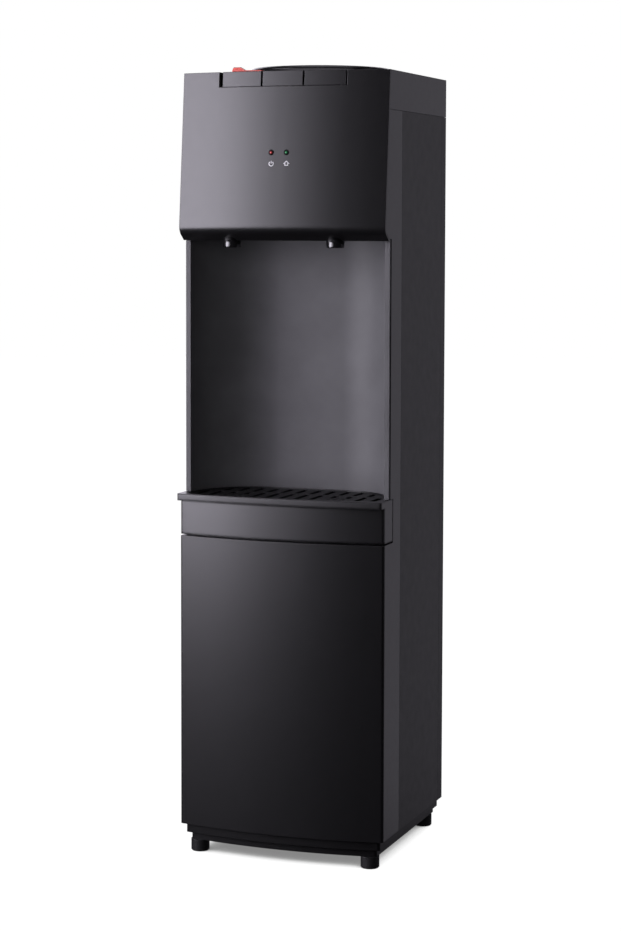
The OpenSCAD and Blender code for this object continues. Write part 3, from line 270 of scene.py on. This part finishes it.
def slot_surfaces():
    """One surface for each material slot of the record."""
    black = (0.002, 0.0019, 0.0022)
    return {
        "black_satin": plastic("black_satin", black, 0.345, 0.46),
        "black_tray": plastic("black_tray", black, 0.345, 0.56, edge=0.0045),
        "black_liner": plastic("black_liner", (0.052, 0.051, 0.055), 0.52, 0.17),
        "black_grille": plastic("black_grille", black, 0.42, 0.2),
        "black_plinth": plastic("black_plinth", black, 0.45, 0.2),
        "black_spout": plastic("black_spout", black, 0.18, 0.8, depth=0.000002),
        "black_gloss": plastic("black_gloss", (0.003, 0.003, 0.0034), 0.24, 0.5, depth=0.000002),
        "black_bezel": plastic("black_bezel", (0.001, 0.001, 0.001), 0.6, 0.06),
        "black_frame": plastic("black_frame", (0.005, 0.005, 0.0055), 0.5, 0.3, depth=0.00002),
        "coated_side": sheet_metal("coated_side", (0.0065, 0.0062, 0.007), 0.46, 0.0, specular=0.3,
                                   grain=700, depth=0.000012),
        "coated_rear": sheet_metal("coated_rear", (0.018, 0.0175, 0.019), 0.5, 0.0, specular=0.3,
                                   grain=700, depth=0.000012),
        "galvanised": sheet_metal("galvanised", (0.52, 0.54, 0.56), 0.38, 1.0, grain=160, depth=0.00002),
        "zinc": sheet_metal("zinc", (0.62, 0.62, 0.64), 0.3, 1.0, grain=1500),
        "stainless": sheet_metal("stainless", (0.66, 0.65, 0.63), 0.26, 1.0, grain=500, depth=0.000006),
        "red_plastic": plastic("red_plastic", (0.36, 0.055, 0.045), 0.5, 0.3, edge=0.0005),
        "lens_red": lens("lens_red", (0.35, 0.01, 0.01), (1.0, 0.03, 0.02)),
        "lens_green": lens("lens_green", (0.01, 0.2, 0.05), (0.02, 0.8, 0.2)),
        "green_plastic": plastic("green_plastic", (0.03, 0.3, 0.08), 0.35, 0.4),
        "white_plastic": plastic("white_plastic", (0.72, 0.72, 0.69), 0.42, 0.4),
        "clear_plastic": clear("clear_plastic", (0.85, 0.9, 0.92)),
        "silicone": rubber("silicone", (0.72, 0.72, 0.69), 0.45),
        "valve_red": plastic("valve_red", (0.55, 0.12, 0.08), 0.42, 0.4),
        "valve_blue": plastic("valve_blue", (0.08, 0.2, 0.55), 0.42, 0.4),
        "foam": foam("foam", (0.8, 0.78, 0.72)),
        "rubber_black": rubber("rubber_black", (0.016, 0.016, 0.017)),
        "copper": sheet_metal("copper", (0.72, 0.34, 0.2), 0.3, 1.0, grain=600, depth=0.000008),
        "black_enamel": plastic("black_enamel", (0.022, 0.022, 0.023), 0.32, 0.5, grain=600, depth=0.00003),
        "mica_band": sheet_metal("mica_band", (0.55, 0.46, 0.28), 0.4, 0.6, grain=300, depth=0.00003),
        "circuit_board": plastic("circuit_board", (0.02, 0.16, 0.06), 0.35, 0.5),
        "bakelite": plastic("bakelite", (0.03, 0.022, 0.018), 0.3, 0.5),
    }


def dress_nodes(surfaces):
    """Gives every CAD node the surface of its slot, or its own finish of the same plastic."""
    own = {"drip_tray": "black_tray", "recess_liner": "black_liner", "drip_grille": "black_grille",
           "base_plinth": "black_plinth"}
    for sub in frame["record"]["subparts"]:
        obj = NODES[sub["node"]]
        surface = surfaces[own.get(sub["node"], sub["material_slot"])]
        for i in range(len(obj.material_slots)):
            obj.material_slots[i].material = surface.mat


# ---------- lights and signs on the hood ----------

FRONT_Y = -0.4  # well in front of the machine
LENS_LIFT = 0.6 * MM  # how far a lens of the CAD stands out of the hood
BESIDE_LENS = 6 * MM  # a spot of the hood clear of the lens
SIGN_DROP = 15.2  # from a light down to its sign, mm
SIGN_SHIFT = 0.6  # sideways from a light to its sign, mm
STROKE = 1.1  # line width of the signs, mm
SIGN_LIFT = 0.12 * MM
SIGN_SINK = 0.1 * MM


def hood_front(x, z):
    """Point and normal on the front of the hood."""
    return on_face("hood_cover", (x, FRONT_Y, z), (0, 1, 0))


def indicator(node, glass, glow, surfaces):
    """Dark collar, domed lens and lit core of an indicator light."""
    mid = center(node)
    _, normal = hood_front(mid.x + BESIDE_LENS, mid.z)
    top, _ = on_face(node, (mid.x, FRONT_Y, mid.z), (0, 1, 0))
    place = top - normal * LENS_LIFT
    ring = [(2.1, -0.5), (2.1, 0.7), (2.3, 0.95), (2.8, 1.0), (3.4, 0.8), (3.8, 0.2), (3.8, -0.5)]
    dome = [(0, 0.3), (2.1, 0.3), (2.1, 0.7), (1.8, 0.95), (1.2, 1.15), (0, 1.25)]
    core = [(0, 1.0), (0.8, 1.0), (0.7, 1.25), (0.4, 1.35), (0, 1.4)]
    dress(lathe(node + "_collar", ring, place, normal), surfaces["black_bezel"], "cabinet")
    dress(lathe(node + "_dome", dome, place, normal), glass, "cabinet")
    dress(lathe(node + "_core", core, place, normal, 24), glow, "cabinet")


def ribbon(name, points, width, closed):
    """Thin raised line through (x, z) points in mm about the middle of a sign on the hood."""
    count = len(points)
    sides = []
    for i, (x, z) in enumerate(points):
        back = points[i - 1] if closed or i > 0 else points[i]
        front = points[(i + 1) % count] if closed or i < count - 1 else points[i]
        before = Vector((x - back[0], z - back[1])).normalized() if back != (x, z) else None
        after = Vector((front[0] - x, front[1] - z)).normalized() if front != (x, z) else None
        way = ((before or after) + (after or before)).normalized()
        lean = way.dot(after or before)
        side = Vector((-way.y, way.x)) * (width / 2 / max(lean, 0.3))
        sides.append((Vector((x, z)) + side, Vector((x, z)) - side))
    verts = []
    for left, right in sides:
        for spot in (left, right):
            place, _ = hood_front(spot.x * MM, spot.y * MM)
            verts.append(place + Vector((0, -SIGN_LIFT, 0)))
            verts.append(place + Vector((0, SIGN_SINK, 0)))
    faces = []
    for i in range(count if closed else count - 1):
        a, b = 4 * i, 4 * ((i + 1) % count)
        for j, k in ((0, 2), (2, 3), (3, 1), (1, 0)):
            faces.append((a + j, a + k, b + k, b + j))
    if not closed:
        end = 4 * (count - 1)
        faces += [(0, 1, 3, 2), (end, end + 2, end + 3, end + 1)]
    return mesh_object(name, verts, faces)


def sign_spot(node):
    """Middle of the sign under a light, as x and z in mm."""
    mid = center(node) / MM
    return mid.x + SIGN_SHIFT, mid.z - SIGN_DROP


def power_sign(ink):
    """Plain power sign: an open ring and a bar in its gap."""
    x0, z0 = sign_spot("led_power")
    radius = 3.1
    arc = [math.radians(a) for a in range(42, 319, 12)]
    ring = [(x0 + radius * math.sin(a), z0 + radius * math.cos(a)) for a in arc]
    dress(ribbon("power_ring", ring, STROKE, False), ink, "cabinet")
    dress(ribbon("power_bar", [(x0, z0 + 0.4), (x0, z0 + 3.9)], STROKE, False), ink, "cabinet")


def house_sign(ink):
    """Plain house outline."""
    x0, z0 = sign_spot("led_cooling")
    house = [(0, 3.3), (3.3, 0.4), (2.1, 0.4), (2.1, -2.3), (-2.1, -2.3), (-2.1, 0.4), (-3.3, 0.4)]
    dress(ribbon("house_sign", [(x0 + x, z0 + z) for x, z in house], STROKE, True), ink, "cabinet")


# ---------- small fittings ----------

RIM_STEP = 7  # from the seat's outer edge in to the outside of its rim, mm
TIP_RADIUS = 12.2  # outside of a spout tip, mm
SPOUT_RADIUS = 10.05  # just outside a spout, mm
RIB_PITCH = 2.6  # of the ribs on the child lock, mm


def seat_rim(surface):
    """Crisp top edge on the rim of the bottle seat."""
    low, high = (Vector(c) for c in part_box("bottle_seat"))
    outer = (high.x - low.x) / 2 / MM - RIM_STEP
    inset = [(6, -1.5), (4.8, -0.2), (4, 0), (0.9, 0), (0.25, -0.25), (0, -0.9), (0, -6.5), (6, -6.5)]
    rim = [(outer - i, h) for i, h in inset]
    mid = ((low.x + high.x) / 2, (low.y + high.y) / 2, high.z)
    dress(lathe("seat_rim", rim, mid, (0, 0, 1), 128), surface, "bottle_seat")


def spout_tips(surface):
    """Wider tip round the lower end of each spout, up to the ceiling of the recess."""
    for node in ("spout_hot", "spout_cold"):
        low = Vector(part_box(node)[0])
        mouth = [v.co for v in NODES[node].data.vertices if v.co.z < low.z + 0.1 * MM]
        mid = sum(mouth, Vector()) / len(mouth)
        beside = mid.y - (TIP_RADIUS - 0.8) * MM
        ceiling, _ = on_face("hood_cover", (mid.x, beside, low.z - 20 * MM), (0, 0, 1))
        top = (ceiling.z - mid.z) / MM - 0.1
        tip = [(8, -4.6), (11.2, -4.6), (11.9, -4.2), (TIP_RADIUS, -3.5)]
        tip += [(TIP_RADIUS, top), (SPOUT_RADIUS, top), (SPOUT_RADIUS, 0), (8, 0)]
        dress(lathe(node + "_tip", tip, mid, (0, 0, 1), 48), surface, "cabinet")


def lock_ribs(surface):
    """Grip ribs across the knob of the child lock."""
    low, high = (Vector(c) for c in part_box("child_lock"))
    for i in range(4):
        x = low.x + (RIB_PITCH + RIB_PITCH * i) * MM
        a = (x - 0.5 * MM, low.y + 1.4 * MM, high.z - 0.5 * MM)
        b = (x + 0.5 * MM, high.y - 1.4 * MM, high.z + 0.6 * MM)
        dress(brick("lock_rib_%d" % i, a, b, 0.3), surface, "child_lock")


def painted_screw_shade(surface):
    """Dark cross laid on the head of each screw of the rear panel: painted shade in place of a cross recess,
    which is not cut.
    """
    screws = NODES["panel_screws"].data
    low, high = (Vector(c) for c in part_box("panel_screws"))
    spots = {}
    for v in screws.vertices:
        if v.co.y > high.y - 0.1 * MM:
            key = (v.co.x > 0, round(v.co.z / 0.03))
            spots.setdefault(key, []).append(v.co)
    for i, key in enumerate(sorted(spots)):
        mid = sum(spots[key], Vector()) / len(spots[key])
        # each bar stands 0.05 mm proud of the head: painted shade, not a recess
        for j, (dx, dz) in enumerate(((2.0, 0.4), (0.4, 2.0))):
            a = (mid.x - dx * MM, high.y - 0.3 * MM, mid.z - dz * MM)
            b = (mid.x + dx * MM, high.y + 0.05 * MM, mid.z + dz * MM)
            dress(brick("screw_cross_%d_%d" % (i, j), a, b, 0.05), surface, "cabinet")


def valve_springs():
    """A copy of each valve spring with its own mesh, carried by the cabinet in place of the CAD spring."""
    for tap in ("hot", "ambient", "cold"):
        node = NODES["valve_spring_" + tap]
        spring = link(bpy.data.objects.new("spring_coil_" + tap, node.data.copy()))
        spring.matrix_world = node.matrix_world.copy()
        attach(spring, "cabinet")
        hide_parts(node.name)
        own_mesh(spring)


def rocker_marks(ink):
    """On and off marks on the two rockers."""
    for node, body in (("rocker_heat", "heating_rocker"), ("rocker_cool", "cooling_rocker")):
        mid = center(node)
        top, normal = on_face(node, (mid.x, 0.4, mid.z + 4.5 * MM), (0, -1, 0))
        turn = math.atan2(normal.z, normal.y)
        a = top - Vector((0.5, 0.3, 2.0)) * MM
        b = top + Vector((0.5, 0.15, 2.0)) * MM
        dress(brick(node + "_on", a, b, 0.1, turn), ink, body)
        low, normal = on_face(node, (mid.x, 0.4, mid.z - 4.5 * MM), (0, -1, 0))
        ring = [(1.4, -0.3), (1.4, 0.15), (2.1, 0.15), (2.1, -0.3)]
        dress(lathe(node + "_off", ring, low, normal, 32), ink, body)


# ---------- camera, stage and light ----------

def make_camera():
    """Camera fitted to the photograph's angle of view."""
    yaw, pitch, roll = math.radians(20.318), math.radians(3.88), math.radians(0.158)
    data = bpy.data.cameras.new("camera")
    data.sensor_width = 36
    data.lens = 89.0
    data.shift_y = -0.0918
    data.clip_start, data.clip_end = 0.1, 60
    cam = link(bpy.data.objects.new("camera", data))
    forward = Vector((-math.sin(yaw) * math.cos(pitch), math.cos(yaw) * math.cos(pitch), -math.sin(pitch)))
    cam.rotation_mode = "QUATERNION"
    tilt = Matrix.Rotation(-roll, 3, forward).to_quaternion()
    cam.rotation_quaternion = tilt @ forward.to_track_quat("-Z", "Y")
    cam.location = (1.1274, -3.0633, 0.8809)
    bpy.context.scene.camera = cam


def stage_surface(name, shade, glow):
    """Matt white surface of the set that lights itself; where shade is above zero, ambient occlusion over
    that distance turns its glow down near the machine as a painted contact shadow.
    """
    s = Surface(name, (0.02, 0.02, 0.02), 0.9, specular=0.0)
    s.set("Emission Color", (1, 1, 1, 1))
    s.set("Emission Strength", glow)
    if shade > 0:
        # painted contact shadow: the glow falls to 0.235 where ambient occlusion finds the machine close by
        painted_shadow_ao = s.tree.nodes.new("ShaderNodeAmbientOcclusion")
        painted_shadow_ao.samples = 16
        painted_shadow_ao.inputs["Distance"].default_value = shade
        ramp = s.tree.nodes.new("ShaderNodeMapRange")
        ramp.inputs["From Min"].default_value = 0.11
        ramp.inputs["From Max"].default_value = 0.38
        ramp.inputs["To Min"].default_value = 0.235
        ramp.inputs["To Max"].default_value = glow
        s.tree.links.new(painted_shadow_ao.outputs["AO"], ramp.inputs["Value"])
        s.tree.links.new(ramp.outputs[0], s.bsdf.inputs["Emission Strength"])
    return s.mat


def make_stage():
    """Pale floor, and a pale wall all round it that only the camera sees."""
    reach, high, count = 13, 14, 48
    corners = [(-reach, -reach, 0), (reach, -reach, 0), (reach, reach, 0), (-reach, reach, 0)]
    floor = mesh_object("floor", corners, [(0, 1, 2, 3)])
    # the floor's glow carries a painted contact shadow within 0.11 m of the machine
    floor.data.materials.append(stage_surface("floor", 0.11, 1.02))
    floor.visible_glossy = floor.visible_diffuse = floor.visible_shadow = False
    ring = [(math.cos(2 * math.pi * i / count), math.sin(2 * math.pi * i / count)) for i in range(count)]
    verts = [(x * (reach - 1), y * (reach - 1), z) for z in (-0.1, high) for x, y in ring]
    faces = [(i, (i + 1) % count, (i + 1) % count + count, i + count) for i in range(count)]
    wall = mesh_object("backdrop", verts, faces, smooth=True)
    wall.data.materials.append(stage_surface("backdrop", 0, 1.0))
    wall.visible_glossy = wall.visible_diffuse = wall.visible_shadow = False


def area_light(name, place, target, size, power, tint=(1, 1, 1)):
    """Soft box at a place that looks at a target; power in watts."""
    data = bpy.data.lights.new(name, "AREA")
    data.color = tint
    data.shape = "RECTANGLE"
    data.size, data.size_y = size
    data.energy = power
    obj = link(bpy.data.objects.new(name, data))
    obj.location = place
    obj.rotation_mode = "QUATERNION"
    obj.rotation_quaternion = (Vector(target) - Vector(place)).to_track_quat("-Z", "Y")
    obj.visible_camera = False
    return obj


def make_lights():
    """Weak even light and soft boxes round the machine; the two fills leave no highlight."""
    scene = bpy.context.scene
    scene.view_settings.view_transform = "Standard"
    world = bpy.data.worlds.new("studio")
    world.use_nodes = True
    back = world.node_tree.nodes["Background"]
    back.inputs["Color"].default_value = (0.03, 0.029, 0.033, 1)
    back.inputs["Strength"].default_value = 1.0
    scene.world = world
    cool = (1.0, 0.955, 1.08)
    area_light("key", (-1.35, -1.35, 1.02), (0, 0, 0.85), (1.1, 1.6), 56, cool)
    area_light("key_edge", (-0.72, -1.95, 1.02), (0, 0, 0.85), (0.6, 1.6), 8, cool)
    for name, place, power in (("fill", (0.9, -2.5, 1.0), 22), ("fill_left", (-2.2, -1.4, 0.95), 66)):
        area_light(name, place, (0, 0, 0.8), (1.3, 1.6), power).visible_glossy = False
    area_light("top", (0.2, -0.3, 3.2), (0, 0, 0), (2.4, 2.4), 20, cool)
    area_light("side", (1.1, 2.9, 0.45), (0.1, 0, 0.45), (2.2, 2.7), 5.7, cool)
    area_light("right", (2.5, 1.3, 1.3), (0, 0, 0.7), (1.8, 2.2), 12, cool)
    area_light("rear", (-1.3, 2.3, 1.7), (0, 0, 0.6), (2.4, 2.4), 30, cool)


# ---------- the scene ----------

make_camera()
make_stage()
make_lights()
SURFACES = slot_surfaces()
dress_nodes(SURFACES)
bpy.context.view_layer.update()
indicator("led_power", lens("glass_red", (0.05, 0.0, 0.0), (0.5, 0.0, 0.0), 0.1),
          lens("glow_red", (0.3, 0.04, 0.04), (1.0, 0.18, 0.18), 0.4), SURFACES)
indicator("led_cooling", lens("glass_green", (0.0, 0.02, 0.008), (0.0, 0.4, 0.1), 0.07),
          lens("glow_green", (0.04, 0.2, 0.08), (0.15, 0.9, 0.35), 0.3), SURFACES)
SIGN_INK = plastic("sign_ink", (0.42, 0.42, 0.44), 0.5, 0.3)
power_sign(SIGN_INK)
house_sign(SIGN_INK)
seat_rim(SURFACES["black_grille"])
spout_tips(SURFACES["black_spout"])
lock_ribs(SURFACES["red_plastic"])
# painted shade of the cross recesses in the screw heads
painted_screw_shade(SURFACES["black_frame"])
valve_springs()
rocker_marks(SURFACES["white_plastic"])
